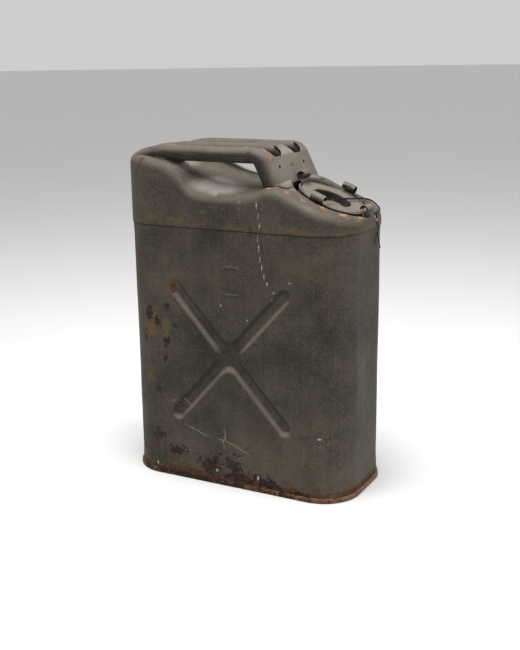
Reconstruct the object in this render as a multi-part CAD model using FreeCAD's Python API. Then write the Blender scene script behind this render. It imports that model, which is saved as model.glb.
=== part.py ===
import FreeCAD, Part
import math
import os

from FreeCAD import Vector

# Steel jerry can with a three-bar handle and a four-lug screw cap.
# Millimetres.  X runs along the can towards the filler, Y across it, Z up.
# The origin is the centre of the footprint on the ground.

# ---- overall size
LENGTH = 345.0            # top shell, outside
WIDTH = 165.0
CORNER = 53.0             # plan radius of the four upright corners
TOP_SHEET = 1.2           # thickness of the pressed top
BODY_SHEET = 1.0          # thickness of the wrapped body
HANDLE_TOP = 473.5        # highest line of the handle bars

# ---- levels
SEAM_Z = 366.0            # lower edge of the top shell's skirt
SKIRT_LAP = 8.0           # how far the body reaches up inside the skirt
CHIME_HEIGHT = 7.0        # rolled hem at the foot
CHIME_STAND = 3.3         # how far the hem stands out from the body
FLOOR_Z = 14.0            # top of the recessed bottom

# ---- pressed X and square panel mark on both broad sides
X_HALF_SPAN = 84.0        # from the centre to the arm ends' centres, along X
X_HALF_RISE = 92.0
X_CENTRE_Z = 190.0
X_ARM_WIDTH = 19.0
X_DEPTH = 4.5
X_INNER_ROUND = 14.0
X_EDGE_ROUND = 3.0
MARK_CENTRE = (6.0, 296.0)
MARK_SIZE = (34.0, 42.0)
MARK_BEAD = 5.0
MARK_HEIGHT = 0.5

# ---- roof of the top shell: height of its middle line and of its shoulders
CROWN = [(-186, 456), (-171, 462), (-158, 465.5), (-143, 467.5), (-126, 467.6), (-108, 464),
         (-90, 458), (-76, 454.5), (-62, 451), (-48, 447.5), (-30, 440.5), (-10, 434.3),
         (10, 430.6), (30, 428.7), (44, 428), (58, 427.6), (70, 425.5), (80, 422),
         (90, 417.7), (105, 411.5), (121, 405), (150, 393.1), (190, 376.7)]
SHOULDER = [(-186, 444), (-171, 451), (-158, 456), (-143, 459), (-126, 458), (-108, 454.5),
            (-90, 449.5), (-76, 438.5), (-62, 424), (-48, 418.5), (-30, 416), (-10, 415),
            (10, 415), (30, 415.5), (44, 418.5), (58, 423.5), (70, 423.5), (80, 420.5),
            (90, 416), (105, 409.5), (121, 403), (150, 391), (190, 374.5)]
SHOULDER_Y = 70.0         # where the shoulder heights hold
SHOULDER_ROUND = 15.0     # rounding between roof and walls

# ---- filler: its axis stands square to the front slope
SLOPE = 22.3              # degrees
CAP_X = 118.5             # where the axis meets the slope
CAP_Z = 406.0
WELL_R = 55.0
WELL_DEPTH = 17.0
RIM_ROUND = 2.2           # rolled edge of the well
COLLAR_IN = 38.0
COLLAR_OUT = 41.0
COLLAR_TOP = -6.5
COLLAR_BOTTOM = -21.0
FLANGE_R = 48.0           # collar's welding flange, under the floor of the well
THREAD_PITCH = 6.0
THREAD_BEAD = 1.6
COLLAR_TURNS = 1.0
CAP_TURNS = 0.8
CAP_THREAD_TURN = -48.0   # degrees; sets the cap's thread midway between the collar's

# ---- screw cap
CAP_SKIRT_IN = 44.0
CAP_SKIRT_OUT = 45.4
CAP_SEAT = -2.5           # top of the cap's cup, measured from the slope
CAP_RING = 1.2            # sheet of the cup's top
CAP_SKIRT_LOW = -13.5
CAP_BEAD = 1.5
PLATE_SHEET = 1.6
PLATE_R = 47.5
DISH_R = 26.5
DISH_DEPTH = 12.0         # below the plate
LUG_RING = 49.5           # distance of the lug axes from the cap's axis
LUG_R = 6.8
LUG_SHEET = 1.5
LUG_LENGTH = 19.0
LUG_HEIGHT = [6.0, 6.5, 9.5, 5.4]    # front, left, back, right; above the slope
GASKET_IN = 36.0
GASKET_OUT = 42.1
GASKET_THICK = 2.7
GASKET_PLAY = 0.05        # above and below the gasket

# ---- handle
BAR_R = 10.6
BAR_Y = 59.0
BAR_WALL = 1.4
PLATE_FACE = 274.5        # x + PLATE_LEAN * z on the outer face of the front plate
PLATE_LEAN = 0.482
BEND_R = 25.0             # outside radius of the bend into the front plate
HANDLE_SHEET = 1.8
FOOT_HALF = 62.0          # half width of the front plate's foot
HOLE_Z = 447.0
HOLE_Y = 36.5
HOLE_R = 2.6
SHEET_TUCK = 0.25         # the plate's face lies this far behind the bars' outer line
CHANNEL_FRONT = 30.0      # the closing channels end here, at the bend
BAR_REAR_X = -140.0       # rear ends of the bars, sunk into the hump
BAR_DIP_X = -97.0         # the bars start to dip here
BAR_DIP = 7.0
SWEEP_R = 58.5            # clear circle for the turning lugs
REAR_EDGE_X = -143.0
REAR_HALF = 69.0          # half width of the rear plate
REAR_CORNER = 28.0
SLOT_REAR_X = -97.0
SLOT_FRONT_X = 52.5
SLOT_CORNER = 12.0

# ---- seal: soft wire tied across the cap, in two lengths that meet at the rim
WIRE_R = 1.0
TAIL_R = 0.8
LINK_R = 0.5
LINK_TOP_X = 171.75       # the link's upper bend, inside the eye
LINK_LENGTH = 6.0
LINK_HALF = 2.4           # half the link's width, between the centres of its wire
EYE_AT = (170.1, 20.0, 380.9)
EYE_RING = 3.6
EYE_R = 0.9
TAIL_X = 173.65           # plane in which the ends hang, just clear of the front
# along the slope, across, above the slope
CAP_WIRE = [(6.5, -41.5, 5.4), (10, -30, 4.6), (12, -8, 3.2), (13, 8, 2.6), (17.5, 22, 2.4),
            (22, 38, 2.6), (25.2, 50.2, 3.0)]
RIM_WIRE = [(25.7, 51.3, 2.2), (28.5, 57.5, 2.0), (34, 61.4, 1.2), (42, 60.8, -0.6),
            (50, 52.8, -0.8), (54.5, 42.2, -0.4), (56.8, 31.2, -0.1), (56.8, 21.6, -0.1)]
# across and up, in the plane of the hanging ends
LONG_TAIL = [(20.5, 373.7), (28, 367), (23, 358), (28, 347), (34, 335)]
SHORT_TAIL = [(25.6, 362.4), (20.5, 355.5), (12, 344.5)]


def box(low, high):
    size = Vector(*high) - Vector(*low)
    return Part.makeBox(size.x, size.y, size.z, Vector(*low))


def rounded_prism(length, width, corner, low, high):
    """Upright prism with a rounded rectangular footprint."""
    block = box((-length / 2, -width / 2, low), (length / 2, width / 2, high))
    upright = [e for e in block.Edges if abs(e.tangentAt(e.FirstParameter).z) > 0.9]
    return block.makeFillet(corner, upright)


def can_prism(inset, low, high):
    """The can's footprint drawn in by inset."""
    return rounded_prism(LENGTH - 2 * inset, WIDTH - 2 * inset, CORNER - inset, low, high)


def smooth(points):
    """A smooth curve z(x) through a few points."""
    curve = Part.BSplineCurve()
    curve.interpolate([Vector(x, 0, z) for x, z in points])
    return curve


def roof_solid(drop):
    """Everything under the roof surface, lowered by drop."""
    crown, shoulder = smooth(CROWN), smooth(SHOULDER)
    stations = [-95, -82, -70, -52, -34, -17, 0, 17, 34, 52, 70, 82, 95]
    steps = 72
    grid = []
    for y in stations:
        share = (y / SHOULDER_Y) ** 2
        row = []
        for i in range(steps + 1):
            t = i / steps
            mid = crown.value(crown.FirstParameter + t * (crown.LastParameter - crown.FirstParameter))
            side = shoulder.value(shoulder.FirstParameter
                                  + t * (shoulder.LastParameter - shoulder.FirstParameter))
            x = mid.x + (side.x - mid.x) * min(share, 1.0)
            z = mid.z + (side.z - mid.z) * share
            row.append(Vector(x, y, z - drop))
        grid.append(row)
    surface = Part.BSplineSurface()
    surface.interpolate(grid)
    return surface.toShape().extrude(Vector(0, 0, -260))


def in_slope(shape):
    """Move a shape from the filler's own frame, Z along its axis, into the can."""
    placed = shape.copy()
    placed.Placement = FreeCAD.Placement(Vector(CAP_X, 0, CAP_Z),
                                         FreeCAD.Rotation(Vector(0, 1, 0), SLOPE))
    return placed


def tube(outer, inner, low, high):
    axis = Vector(0, 0, 1)
    ring = Part.makeCylinder(outer, high - low, Vector(0, 0, low), axis)
    return ring.cut(Part.makeCylinder(inner, high - low, Vector(0, 0, low), axis))


def disc(radius, low, high):
    return Part.makeCylinder(radius, high - low, Vector(0, 0, low))


def half_width(inset):
    return WIDTH / 2 - inset


def x_cutter(side, inset, grow, depth):
    """The pressed X as a cutter that goes depth into one broad side (side is -1 or 1)."""
    width = X_ARM_WIDTH + 2 * grow
    outside = 6.0
    length = depth + outside
    reach = math.hypot(X_HALF_SPAN, X_HALF_RISE)
    lean = math.degrees(math.atan2(X_HALF_RISE, X_HALF_SPAN))
    arm = box((-reach, 0, -width / 2), (reach, length, width / 2))
    for end in (-reach, reach):
        arm = arm.fuse(Part.makeCylinder(width / 2, length, Vector(end, 0, 0), Vector(0, 1, 0)))
    cross = None
    for turn in (lean, -lean):
        one = arm.removeSplitter().copy()
        one.rotate(Vector(0, 0, 0), Vector(0, 1, 0), turn)
        cross = one if cross is None else cross.fuse(one)
    cross = cross.removeSplitter()
    corners = [e for e in cross.Edges if is_line_along_y(e) and near_axis(e, 30)]
    cross = cross.makeFillet(X_INNER_ROUND - grow, corners)
    deep = [e for e in cross.Edges if e.BoundBox.YMin > length - 0.001]
    cross = cross.makeFillet(depth * 0.8, deep)
    if side > 0:
        cross.rotate(Vector(0, 0, 0), Vector(0, 0, 1), 180)
    cross.translate(Vector(0, side * (half_width(inset) + outside), X_CENTRE_Z))
    return cross


def is_line_along_y(edge):
    if edge.Curve.TypeId != "Part::GeomLine":
        return False
    return abs(edge.tangentAt(edge.FirstParameter).y) > 0.9


def near_axis(edge, distance):
    middle = edge.valueAt((edge.FirstParameter + edge.LastParameter) / 2)
    return math.hypot(middle.x, middle.z) < distance


def pressed_block(inset, low, high, grow, depth, edge_round):
    """The wrapped body as a full block with the X pressed into both broad sides."""
    block = can_prism(inset, low, high)
    for side in (-1, 1):
        block = block.cut(x_cutter(side, inset, grow, depth))
    lips = []
    for edge in block.Edges:
        bounds = edge.BoundBox
        flat = bounds.YMax - bounds.YMin < 0.01
        on_side = abs(abs(bounds.YMax) - half_width(inset)) < 0.01
        inside = bounds.ZMin > low + 20 and bounds.ZMax < high - 20
        if flat and on_side and inside and bounds.XMax < 130 and bounds.XMin > -130:
            if abs(bounds.ZMax - bounds.ZMin) < 300:
                lips.append(edge)
    lips = [e for e in lips if not (e.Curve.TypeId == "Part::GeomLine" and is_upright(e))]
    return block.makeFillet(edge_round, lips)


def is_upright(edge):
    return abs(edge.tangentAt(edge.FirstParameter).z) > 0.99


def body_shell():
    """Wrapped sheet body with the pressed X and a plain raised square panel mark."""
    low, high = 1.5, SEAM_Z + SKIRT_LAP
    sheet = BODY_SHEET
    outer = pressed_block(TOP_SHEET, low, high, 0.0, X_DEPTH, X_EDGE_ROUND)
    inner = pressed_block(TOP_SHEET + sheet, low - 1, high + 1, sheet, X_DEPTH, X_EDGE_ROUND - sheet)
    shell = outer.cut(inner)
    x, z = MARK_CENTRE
    wide, tall = MARK_SIZE
    for side in (-1, 1):
        face = side * half_width(TOP_SHEET)
        rings = []
        for margin in (0.0, MARK_BEAD):
            block = box((x - wide / 2 + margin, face - MARK_HEIGHT, z - tall / 2 + margin),
                        (x + wide / 2 - margin, face + MARK_HEIGHT, z + tall / 2 - margin))
            block = block.makeFillet(7.0 - margin * 0.8, [e for e in block.Edges if is_line_along_y(e)])
            rings.append(block)
        shell = shell.fuse(rings[0].cut(rings[1]))
    return shell.removeSplitter()


def bottom_pan():
    """Recessed bottom whose edge is rolled round the body's lower edge."""
    body = TOP_SHEET
    inside = TOP_SHEET + BODY_SHEET
    hem = can_prism(body - CHIME_STAND, 0, CHIME_HEIGHT)
    rims = [e for e in hem.Edges if e.BoundBox.ZMax - e.BoundBox.ZMin < 0.01]
    hem = hem.makeFillet(2.4, rims)
    pan = hem.fuse(can_prism(inside, 0, FLOOR_Z))
    slot = can_prism(body, 1.5, FLOOR_Z + 1).cut(can_prism(inside, 0, FLOOR_Z + 2))
    pan = pan.cut(slot)
    return pan.cut(can_prism(inside + 1.2, -1, FLOOR_Z - 1.2))


def roof_block(inset, drop, low, rounding):
    """The top shell as a full block: footprint under the roof, rounded where they meet."""
    block = can_prism(inset, low, 480).common(roof_solid(drop)).Solids[0]
    top_edges = [e for e in block.Edges if e.BoundBox.ZMin > low + 1 and not is_upright(e)]
    return block.makeFillet(rounding, top_edges)


def top_shell(outer):
    """Pressed top: hump and saddle under the handle, slope with the filler's well."""
    inner = roof_block(TOP_SHEET, TOP_SHEET, SEAM_Z - 1, SHOULDER_ROUND - TOP_SHEET)
    wall = TOP_SHEET
    well = in_slope(disc(WELL_R, -WELL_DEPTH, 40))
    around = in_slope(disc(WELL_R + wall, -WELL_DEPTH - wall, 40))
    skin = outer.cut(well)
    lip = [e for e in skin.Edges if on_well_edge(e)]
    skin = skin.makeFillet(RIM_ROUND, lip)
    shell = skin.cut(inner.cut(around))
    return shell.cut(in_slope(disc(COLLAR_OUT, -WELL_DEPTH - 10, 0)))


def on_well_edge(edge):
    """True for edges of the well's mouth, found in the filler's own frame."""
    lean = math.radians(SLOPE)
    inside = True
    for share in (0.0, 0.5, 1.0):
        p = edge.valueAt(edge.FirstParameter + share * (edge.LastParameter - edge.FirstParameter))
        dx, dz = p.x - CAP_X, p.z - CAP_Z
        along = dx * math.cos(lean) - dz * math.sin(lean)
        height = dx * math.sin(lean) + dz * math.cos(lean)
        inside = inside and abs(math.hypot(along, p.y) - WELL_R) < 0.05 and height > 1 - WELL_DEPTH
    return inside


def thread(radius, bead, start, turns):
    """Half-round helical ridge standing on a cylinder."""
    helix = Part.makeHelix(THREAD_PITCH, THREAD_PITCH * turns, radius)
    helix.translate(Vector(0, 0, start))
    section = Part.Wire([Part.makeCircle(bead, Vector(radius, 0, start), Vector(0, 1, 0))])
    return Part.Wire(helix).makePipeShell([section], True, True)


def neck_collar():
    """Threaded collar welded into the floor of the well."""
    ring = tube(COLLAR_OUT, COLLAR_IN, COLLAR_BOTTOM, COLLAR_TOP)
    under = -WELL_DEPTH - TOP_SHEET
    ring = ring.fuse(tube(FLANGE_R, COLLAR_IN, under - 1.5, under))
    ridge = thread(COLLAR_OUT, THREAD_BEAD, COLLAR_TOP - 1.8 - THREAD_PITCH * COLLAR_TURNS, COLLAR_TURNS)
    return in_slope(ring.fuse(ridge))


def cap_shell():
    """Threaded cup of the cap: skirt, rolled lower edge and top ring."""
    skirt = tube(CAP_SKIRT_OUT, CAP_SKIRT_IN, CAP_SKIRT_LOW, CAP_SEAT - 0.6)
    edge = Part.makeTorus(CAP_SKIRT_OUT, CAP_BEAD, Vector(0, 0, CAP_SKIRT_LOW + 0.3))
    edge = edge.cut(disc(CAP_SKIRT_IN, CAP_SKIRT_LOW - 5, 0))
    top = tube(CAP_SKIRT_OUT, DISH_R, CAP_SEAT - CAP_RING, CAP_SEAT)
    ridge = thread(CAP_SKIRT_IN, THREAD_BEAD, CAP_SKIRT_LOW + 1.4, CAP_TURNS)
    ridge = ridge.cut(tube(CAP_SKIRT_OUT + 2, CAP_SKIRT_IN + 0.7, CAP_SKIRT_LOW - 5, 0))
    ridge.rotate(Vector(0, 0, 0), Vector(0, 0, 1), CAP_THREAD_TURN)
    return in_slope(skirt.fuse([edge, top, ridge]))


def lug(height):
    """One rolled lug, standing on the plate's rim towards +X, axis along Y."""
    low, half = CAP_SEAT, LUG_LENGTH / 2
    tab = box((PLATE_R - 8, -half, low), (LUG_RING + 1.2, half, low + PLATE_SHEET))
    web = box((LUG_RING - 0.8, -half, low), (LUG_RING + 0.8, half, height - LUG_R + 0.8))
    axis = Vector(0, 1, 0)
    at = Vector(LUG_RING, -half, height)
    curl = Part.makeCylinder(LUG_R, LUG_LENGTH, at, axis)
    curl = curl.cut(Part.makeCylinder(LUG_R - LUG_SHEET, LUG_LENGTH, at, axis))
    slit = box((-2 * LUG_R, -half - 1, -1.0), (0, half + 1, 1.0))
    slit.rotate(Vector(0, 0, 0), Vector(0, 1, 0), -35)
    slit.translate(Vector(LUG_RING, 0, height))
    return tab.fuse(web).fuse(curl.cut(slit))


def cap_lug_plate():
    """Dished plate welded on the cup, with four lugs rolled from its rim."""
    low, high = CAP_SEAT, CAP_SEAT + PLATE_SHEET
    plate = tube(PLATE_R, DISH_R - PLATE_SHEET, low, high)
    plate = plate.fuse(tube(DISH_R, DISH_R - PLATE_SHEET, low - DISH_DEPTH, high))
    plate = plate.fuse(disc(DISH_R, low - DISH_DEPTH - PLATE_SHEET, low - DISH_DEPTH))
    for i, height in enumerate(LUG_HEIGHT):
        one = lug(height)
        one.rotate(Vector(0, 0, 0), Vector(0, 0, 1), 90 * i)
        plate = plate.fuse(one)
    return in_slope(plate.removeSplitter())


def cap_gasket():
    """Flat rubber ring between the cap's top and the collar's lip."""
    high = CAP_SEAT - CAP_RING - GASKET_PLAY
    return in_slope(tube(GASKET_OUT, GASKET_IN, high - GASKET_THICK, high))


def bent_path(points):
    """Straight runs joined by arcs as large as the runs allow."""
    points = [Vector(*p) for p in points]
    edges = []
    start = points[0]
    for before, corner, after in zip(points, points[1:], points[2:]):
        back, ahead = before - corner, after - corner
        short = min(back.Length, ahead.Length) * 0.45
        first = corner + back.normalize() * short
        last = corner + ahead.normalize() * short
        half = math.pi / 2 - back.getAngle(ahead) / 2
        bulge = short * (1 - math.cos(half)) / math.sin(half)
        middle = corner + (back + ahead).normalize() * bulge
        edges.append(Part.LineSegment(start, first).toShape())
        edges.append(Part.Arc(first, middle, last).toShape())
        start = last
    edges.append(Part.LineSegment(start, points[-1]).toShape())
    return Part.Wire(edges)


def rod(path, radius, inner=0.0):
    """Round bar or pipe along a path of runs and arcs."""
    first = path.Edges[0]
    at = first.valueAt(first.FirstParameter)
    along = first.tangentAt(first.FirstParameter)
    section = Part.Wire([Part.makeCircle(radius, at, along)])
    solid = path.makePipeShell([section], True, True)
    if inner:
        hollow = Part.Wire([Part.makeCircle(inner, at, along)])
        solid = solid.cut(path.makePipeShell([hollow], True, True))
    return solid


def bar_path(y, rear, down):
    """Centre line of a handle bar from its level run over the bend and down behind the front plate."""
    lean = math.hypot(1, PLATE_LEAN)
    normal = Vector(1 / lean, 0, PLATE_LEAN / lean)
    slope = Vector(PLATE_LEAN / lean, 0, -1 / lean)
    centre = bend_centre(y)
    radius = BEND_R - BAR_R
    top = centre + Vector(0, 0, radius)
    half = math.radians(90 - math.degrees(math.atan(PLATE_LEAN))) / 2
    middle = centre + Vector(math.sin(half), 0, math.cos(half)) * radius
    end = centre + normal * radius
    edges = [Part.LineSegment(Vector(rear, y, top.z), top).toShape(),
             Part.Arc(top, middle, end).toShape(),
             Part.LineSegment(end, end + slope * down).toShape()]
    return Part.Wire(edges)


def rear_path(y):
    """Centre line of a handle bar's rear end, which dips into the hump."""
    level = HANDLE_TOP - BAR_R
    length = BAR_DIP_X - BAR_REAR_X
    radius = (length ** 2 + BAR_DIP ** 2) / (2 * BAR_DIP)
    half = math.asin(length / radius) / 2
    middle = Vector(BAR_DIP_X - radius * math.sin(half), y, level - radius * (1 - math.cos(half)))
    tip = Vector(BAR_REAR_X, y, level - BAR_DIP)
    return Part.Wire([Part.Arc(tip, middle, Vector(BAR_DIP_X, y, level)).toShape()])


def bend_centre(y):
    """Centre of the bend between the level bars and the leaning front plate."""
    z = HANDLE_TOP - BEND_R
    lean = math.hypot(1, PLATE_LEAN)
    return Vector(PLATE_FACE - PLATE_LEAN * z - BEND_R * lean, y, z)


def front_sheet():
    """Leaning front plate with the bend above it, before its slots are cut."""
    centre = bend_centre(0)
    lean = math.hypot(1, PLATE_LEAN)
    slope = Vector(PLATE_LEAN / lean, 0, -1 / lean)
    outer = BEND_R - SHEET_TUCK
    inner = outer - HANDLE_SHEET
    low = math.atan(PLATE_LEAN)
    high = math.radians(76)

    def spot(radius, angle):
        return centre + Vector(math.cos(angle), 0, math.sin(angle)) * radius

    mean = (low + high) / 2
    reach = 60
    foot_out = spot(outer, low) + slope * reach
    foot_in = spot(inner, low) + slope * reach
    edges = [Part.Arc(spot(outer, high), spot(outer, mean), spot(outer, low)).toShape(),
             Part.LineSegment(spot(outer, low), foot_out).toShape(),
             Part.LineSegment(foot_out, foot_in).toShape(),
             Part.LineSegment(foot_in, spot(inner, low)).toShape(),
             Part.Arc(spot(inner, low), spot(inner, mean), spot(inner, high)).toShape(),
             Part.LineSegment(spot(inner, high), spot(outer, high)).toShape()]
    face = Part.Face(Part.Wire(edges))
    face.translate(Vector(0, -BAR_Y - 2, 0))
    return face.extrude(Vector(0, 2 * BAR_Y + 4, 0))


def resting_sheet(low, high, corner):
    """Flat flange that lies on the roof within a rounded footprint."""
    block = box((low[0], low[1], 380), (high[0], high[1], 490))
    block = block.makeFillet(corner, [e for e in block.Edges if is_upright(e)])
    return block.common(roof_solid(-HANDLE_SHEET)).Solids[0]


def rear_plate():
    return resting_sheet((REAR_EDGE_X, -REAR_HALF), (-80, REAR_HALF), REAR_CORNER)


def handle_stamping(top_block):
    """Three bars' upper halves, front plate, legs and flanges, pressed from one sheet."""
    inner = BAR_R - BAR_WALL
    level = HANDLE_TOP - BAR_R
    pieces = [front_sheet()]
    for y in (-BAR_Y, 0, BAR_Y):
        full = rod(bar_path(y, CHANNEL_FRONT, 14 if y == 0 else 60), BAR_R, inner)
        path = bar_path(y, BAR_DIP_X, 1)
        upper = rod(path, BAR_R, inner).common(box((-200, y - 20, level), (CHANNEL_FRONT, y + 20, 480)))
        tip = Vector(BAR_REAR_X, y, level - BAR_DIP)
        end = Part.makeSphere(BAR_R, tip).cut(Part.makeSphere(inner, tip))
        end = end.common(box((-200, y - 20, 400), (BAR_REAR_X, y + 20, 480)))
        pieces += [full, upper, rod(rear_path(y), BAR_R, inner), end]
    foot = resting_sheet((60, -FOOT_HALF), (80, FOOT_HALF), 8)
    pieces += [rear_plate(), foot.cut(in_slope(disc(SWEEP_R, -30, 40)))]
    shape = pieces[0].fuse(pieces[1:]).cut(top_block)
    for side in (-1, 1):
        middle = side * BAR_Y / 2
        width = BAR_Y / 2 - BAR_R - 0.6
        slot = box((SLOT_REAR_X, middle - width, 415), (SLOT_FRONT_X, middle + width, 480))
        slot = slot.makeFillet(SLOT_CORNER, [e for e in slot.Edges if is_upright(e)])
        shape = shape.cut(slot)
        near, far = sorted((side * (BAR_Y + BAR_R), side * (BAR_Y + 40)))
        shape = shape.cut(box((SLOT_REAR_X, near, 400), (-60, far, 480)))
        lean = math.hypot(1, PLATE_LEAN)
        hole = Vector(PLATE_FACE - PLATE_LEAN * HOLE_Z, side * HOLE_Y, HOLE_Z)
        normal = Vector(1 / lean, 0, PLATE_LEAN / lean)
        shape = shape.cut(Part.makeCylinder(HOLE_R, 6, hole - normal * 3, normal))
    return shape


def grip_channel(y, top_block):
    """Lower half of one bar, a channel that closes it from below."""
    level = HANDLE_TOP - BAR_R
    pipe = rod(bar_path(y, BAR_DIP_X, 1), BAR_R, BAR_R - BAR_WALL)
    lower = pipe.common(box((-200, y - 20, 440), (CHANNEL_FRONT, y + 20, level)))
    return biggest(lower.cut(top_block).cut(rear_plate()))


def biggest(shape):
    return max(shape.Solids, key=lambda solid: solid.Volume)


def seal_eye(top_block):
    """Wire eye welded on the front shoulder."""
    ring = Part.makeTorus(EYE_RING, EYE_R, Vector(*EYE_AT), Vector(0, 1, 0))
    return biggest(ring.cut(top_block))


def seal_wire(points):
    return in_slope(rod(bent_path(points), WIRE_R))


def seal_link():
    """Small oval link hanging in the eye."""
    top = Vector(LINK_TOP_X, EYE_AT[1], EYE_AT[2])
    low = Vector(TAIL_X, EYE_AT[1], EYE_AT[2] - LINK_LENGTH)
    bend = (low - top).normalize() * LINK_HALF
    side = Vector(0, LINK_HALF, 0)
    edges = [Part.LineSegment(top + side + bend, low + side - bend).toShape(),
             Part.Arc(low + side - bend, low, low - side - bend).toShape(),
             Part.LineSegment(low - side - bend, top - side + bend).toShape(),
             Part.Arc(top - side + bend, top, top + side + bend).toShape()]
    return rod(Part.Wire(edges), LINK_R)


def seal_tails():
    """Two twisted-off wire ends hanging below the link."""
    paths = [[(TAIL_X, y, z) for y, z in route] for route in (LONG_TAIL, SHORT_TAIL)]
    rods = [rod(bent_path(path), TAIL_R) for path in paths]
    return rods[0].fuse(rods[1])


def show(name, shape):
    if shape.ShapeType == "Compound" and len(shape.Solids) == 1:
        shape = shape.Solids[0]
    box_ = shape.BoundBox
    print("%-24s solids %d volume %.0f valid %s  x %.1f..%.1f y %.1f..%.1f z %.1f..%.1f" % (
        name, len(shape.Solids), shape.Volume, shape.isValid(),
        box_.XMin, box_.XMax, box_.YMin, box_.YMax, box_.ZMin, box_.ZMax))
    shape.exportStep("parts/%s.step" % name)


def main():
    os.makedirs("parts", exist_ok=True)
    top_block = roof_block(0.0, 0.0, SEAM_Z, SHOULDER_ROUND)
    show("body_shell", body_shell())
    show("bottom_pan", bottom_pan())
    show("top_shell", top_shell(top_block))
    show("neck_collar", neck_collar())
    show("cap_shell", cap_shell())
    show("cap_lug_plate", cap_lug_plate())
    show("cap_gasket", cap_gasket())
    show("handle_stamping", handle_stamping(top_block))
    for name, y in (("grip_channel_right", -BAR_Y), ("grip_channel_middle", 0.0),
                    ("grip_channel_left", BAR_Y)):
        show(name, grip_channel(y, top_block))
    show("seal_eye", seal_eye(top_block))
    show("seal_wire_over_cap", seal_wire(CAP_WIRE))
    show("seal_wire_round_rim", seal_wire(RIM_WIRE))
    show("seal_link", seal_link())
    show("seal_tails", seal_tails())


main()
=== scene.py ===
import math

import bmesh
import bpy
import numpy as np
from mathutils import Matrix, Vector, noise


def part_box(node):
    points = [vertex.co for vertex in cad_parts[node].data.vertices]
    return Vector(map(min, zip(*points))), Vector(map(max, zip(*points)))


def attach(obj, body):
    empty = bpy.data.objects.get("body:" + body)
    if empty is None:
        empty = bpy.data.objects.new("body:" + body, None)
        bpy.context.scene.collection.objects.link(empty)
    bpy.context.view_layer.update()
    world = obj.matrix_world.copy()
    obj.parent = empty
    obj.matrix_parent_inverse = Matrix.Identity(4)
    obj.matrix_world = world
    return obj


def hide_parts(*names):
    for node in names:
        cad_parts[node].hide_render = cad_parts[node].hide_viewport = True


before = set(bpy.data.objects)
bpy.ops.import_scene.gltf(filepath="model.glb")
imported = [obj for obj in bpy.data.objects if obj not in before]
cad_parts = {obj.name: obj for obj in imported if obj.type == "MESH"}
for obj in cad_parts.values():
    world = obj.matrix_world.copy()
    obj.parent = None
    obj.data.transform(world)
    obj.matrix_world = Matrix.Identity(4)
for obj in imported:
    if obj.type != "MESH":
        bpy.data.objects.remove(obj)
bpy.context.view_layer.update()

MM = 0.001

# ---- frame of the filler: its axis stands square to the front slope
SLOPE = math.radians(22.3)
FILLER = Vector((118.5, 0.0, 406.0)) * MM
ALONG = Vector((math.cos(SLOPE), 0, -math.sin(SLOPE)))
OUTWARD = Vector((math.sin(SLOPE), 0, math.cos(SLOPE)))

# ---- sizes of the wrapped body, from its CAD node
BODY_LOW, BODY_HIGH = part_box("body_shell")
BODY_CORNER = 51.8 * MM
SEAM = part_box("top_shell")[0].z
FOOT_ROW = 3.4            # spacing of the rows of points near the foot, in millimetres
FOOT_ROWS = 23
FINE_TOP = 322 * MM
TOP_ROWS = 14
X_CENTRE_Z = 190 * MM
X_ARM = Vector((84, 92)) * MM
X_HALF_WIDTH = 9.5 * MM
X_DEPTH = 4.5 * MM
MARK = (6 * MM, 296 * MM, 17 * MM, 21 * MM)     # centre x, z, half width, half height

# ---- the cap's plate and its rolled lugs, in millimetres above and along the slope
PLATE_LOW = -2.5
PLATE_HIGH = -0.9
LUG_RING = 49.5
LUG_MIDDLE = 6.05         # from the lug's axis to the middle of its sheet
LUG_HEIGHTS = (6.0, 6.5, 9.5, 5.4)
LUG_HOLLOW_SHADE = (5.75 * MM, 5.3 * MM)      # from the lug's axis: where the painted shade in its hollow begins, and where it is full


# ------------------------------------------------------------------ meshes

def new_object(name, mesh):
    piece = bpy.data.objects.new(name, mesh)
    bpy.context.scene.collection.objects.link(piece)
    return piece


def mesh_piece(name, points, faces, sharp=40):
    mesh = bpy.data.meshes.new(name)
    mesh.from_pydata([tuple(p) for p in points], [], faces)
    mesh.update()
    mesh.shade_smooth()
    mesh.set_sharp_from_angle(angle=math.radians(sharp))
    return new_object(name, mesh)


def grid_faces(rows, columns):
    """Quads of a grid of points whose last column joins the first."""
    faces = []
    for r in range(rows - 1):
        low, high = r * columns, (r + 1) * columns
        for c in range(columns):
            d = (c + 1) % columns
            faces.append((low + c, low + d, high + d, high + c))
    return faces


def worked_copy(node, longest, move, sharp=35):
    """A finer copy of a CAD node's mesh whose points are moved by a function of their place."""
    bm = bmesh.new()
    bm.from_mesh(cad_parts[node].data)
    bmesh.ops.remove_doubles(bm, verts=bm.verts, dist=2e-6)
    for _ in range(7):
        long_edges = [e for e in bm.edges if e.calc_length() > longest]
        if not long_edges:
            break
        bmesh.ops.subdivide_edges(bm, edges=long_edges, cuts=1)
        bmesh.ops.triangulate(bm, faces=bm.faces[:], quad_method="BEAUTY", ngon_method="BEAUTY")
    mesh = bpy.data.meshes.new(node + "_worked")
    bm.to_mesh(mesh)
    bm.free()
    points = np.zeros(len(mesh.vertices) * 3)
    mesh.vertices.foreach_get("co", points)
    points = points.reshape(-1, 3)
    mesh.vertices.foreach_set("co", (points + move(points)).ravel())
    mesh.update()
    mesh.shade_smooth()
    mesh.set_sharp_from_angle(angle=math.radians(sharp))
    piece = new_object(node + "_worked", mesh)
    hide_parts(node)
    return piece


def dents(points, table):
    """Sum of soft dents: each row is centre, radius, and the push at its middle, in millimetres."""
    moved = np.zeros_like(points)
    for centre, radius, push in table:
        away = (points - np.array(centre) * MM) / (np.array(radius) * MM)
        share = np.exp(-(away ** 2).sum(axis=1))
        moved += share[:, None] * np.array(push) * MM
    return moved


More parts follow.
